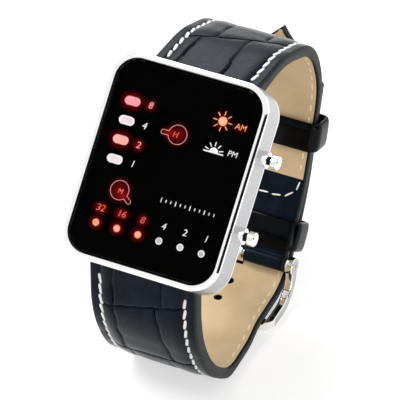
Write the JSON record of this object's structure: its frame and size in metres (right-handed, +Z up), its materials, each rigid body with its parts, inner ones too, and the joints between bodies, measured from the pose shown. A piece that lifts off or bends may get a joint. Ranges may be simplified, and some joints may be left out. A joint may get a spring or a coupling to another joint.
{
  "type": "binary wristwatch",
  "caption": "Rectangular binary wristwatch with a lit dial, two side pushers and a leather strap buckled in a loop that it stands on.",
  "frame": {"origin": "centre of the flat of the strap that the watch stands on", "axes": "+Z up; +X to the side with the pushers, +Y from the dial back to the buckle; the dial looks forward and up along -Y and +Z"},
  "size_m": [0.0389, 0.0748, 0.0735],
  "materials": {
    "case_steel": "polished plating with satin side walls",
    "back_steel": "brushed along its length",
    "screw_steel": "turned, slotted",
    "smoked_glass": "polished, dark smoked mineral glass",
    "seal_rubber": "matt black",
    "mask_black": "matt black print",
    "window_diffuser": "milky, lit from behind",
    "board_resin": "green solder mask",
    "holder_plastic": "moulded black",
    "led_body": "clear resin on white",
    "chip_resin": "moulded black",
    "plated_can": "tin plated",
    "cell_steel": "nickel plated",
    "spring_steel": "bright wire and strip",
    "pusher_steel": "polished",
    "contact_brass": "gold-flashed strip",
    "bar_steel": "turned",
    "strap_leather": "padded, embossed with a crocodile grain, semi-gloss navy black",
    "keeper_leather": "smooth gloss black",
    "lining_leather": "tan nubuck with fine creases",
    "padding_felt": "pressed fibre wadding",
    "buckle_steel": "polished stainless steel"
  },
  "bodies": {
    "root": {"back_cover": "back_steel", "back_gasket": "seal_rubber", "back_screws": "screw_steel", "battery": "cell_steel", "battery_clip": "spring_steel", "board_passives": "chip_resin", "buckle_bar_spring": "spring_steel", "buckle_bar_tube": "bar_steel", "case_body": "case_steel", "circuit_board": "board_resin", "contact_leaves": "contact_brass", "dial_mask": "mask_black", "driver_chip": "chip_resin", "fixed_keeper": "keeper_leather", "hour_leds": "led_body", "hour_windows": "window_diffuser", "icon_leds": "led_body", "lens": "smoked_glass", "lens_gasket": "seal_rubber", "light_baffle": "holder_plastic", "long_strap_cover": "strap_leather", "long_strap_lining": "lining_leather", "long_strap_padding": "padding_felt", "lower_bar_spring": "spring_steel", "lower_bar_tube": "bar_steel", "lower_pusher_spring": "spring_steel", "meridiem_windows": "window_diffuser", "minute_leds": "led_body", "minute_windows": "window_diffuser", "module_holder": "holder_plastic", "pusher_sleeves": "pusher_steel", "quartz_crystal": "plated_can", "short_strap_cover": "strap_leather", "short_strap_lining": "lining_leather", "short_strap_padding": "padding_felt", "upper_bar_spring": "spring_steel", "upper_bar_tube": "bar_steel", "upper_pusher_spring": "spring_steel"},
    "upper_pusher": {"upper_pusher": "pusher_steel", "upper_pusher_clip": "spring_steel"},
    "lower_pusher": {"lower_pusher": "pusher_steel", "lower_pusher_clip": "spring_steel"},
    "buckle_frame": {"buckle_frame": "buckle_steel"},
    "buckle_tongue": {"buckle_tongue": "buckle_steel"},
    "free_keeper": {"free_keeper": "keeper_leather"},
    "upper_bar_left_pin": {"upper_bar_left_pin": "bar_steel"},
    "upper_bar_right_pin": {"upper_bar_right_pin": "bar_steel"},
    "lower_bar_left_pin": {"lower_bar_left_pin": "bar_steel"},
    "lower_bar_right_pin": {"lower_bar_right_pin": "bar_steel"},
    "buckle_bar_left_pin": {"buckle_bar_left_pin": "bar_steel"},
    "buckle_bar_right_pin": {"buckle_bar_right_pin": "bar_steel"}
  },
  "joints": [
    {"name": "upper_push", "type": "slide", "parent": "root", "child": "upper_pusher", "axis": [-1, 0, 0], "range_m": [0, 0.0008], "stiffness_N_per_m": 1500, "springref_m": -0.0004, "deforming": ["upper_pusher_spring"]},
    {"name": "lower_push", "type": "slide", "parent": "root", "child": "lower_pusher", "axis": [-1, 0, 0], "range_m": [0, 0.0008], "stiffness_N_per_m": 1500, "springref_m": -0.0004, "deforming": ["lower_pusher_spring"]},
    {"name": "keeper_slide", "type": "slide", "parent": "root", "child": "free_keeper", "axis": [0, 0.2848, 0.9586], "range_m": [-0.008, 0.0005]},
    {"name": "buckle_swing", "type": "hinge", "parent": "root", "child": "buckle_frame", "pos_m": [0, 0.02444, 0.0091], "axis": [1, 0, 0], "range_deg": [0, 5]},
    {"name": "tongue_swing", "type": "hinge", "parent": "buckle_frame", "child": "buckle_tongue", "pos_m": [0, 0.02444, 0.0091], "axis": [1, 0, 0], "range_deg": [0, 5]},
    {"name": "upper_bar_left_press", "type": "slide", "parent": "root", "child": "upper_bar_left_pin", "axis": [1, 0, 0], "range_m": [0, 0.0011], "stiffness_N_per_m": 1200, "springref_m": -0.0005, "deforming": ["upper_bar_spring"]},
    {"name": "upper_bar_right_press", "type": "slide", "parent": "root", "child": "upper_bar_right_pin", "axis": [-1, 0, 0], "range_m": [0, 0.0011], "stiffness_N_per_m": 1200, "springref_m": -0.0005, "deforming": ["upper_bar_spring"]},
    {"name": "lower_bar_left_press", "type": "slide", "parent": "root", "child": "lower_bar_left_pin", "axis": [1, 0, 0], "range_m": [0, 0.0011], "stiffness_N_per_m": 1200, "springref_m": -0.0005, "deforming": ["lower_bar_spring"]},
    {"name": "lower_bar_right_press", "type": "slide", "parent": "root", "child": "lower_bar_right_pin", "axis": [-1, 0, 0], "range_m": [0, 0.0011], "stiffness_N_per_m": 1200, "springref_m": -0.0005, "deforming": ["lower_bar_spring"]},
    {"name": "buckle_bar_left_press", "type": "slide", "parent": "root", "child": "buckle_bar_left_pin", "axis": [1, 0, 0], "range_m": [0, 0.0017], "stiffness_N_per_m": 1200, "springref_m": -0.0005, "deforming": ["buckle_bar_spring"]},
    {"name": "buckle_bar_right_press", "type": "slide", "parent": "root", "child": "buckle_bar_right_pin", "axis": [-1, 0, 0], "range_m": [0, 0.0017], "stiffness_N_per_m": 1200, "springref_m": -0.0005, "deforming": ["buckle_bar_spring"]}
  ]
}
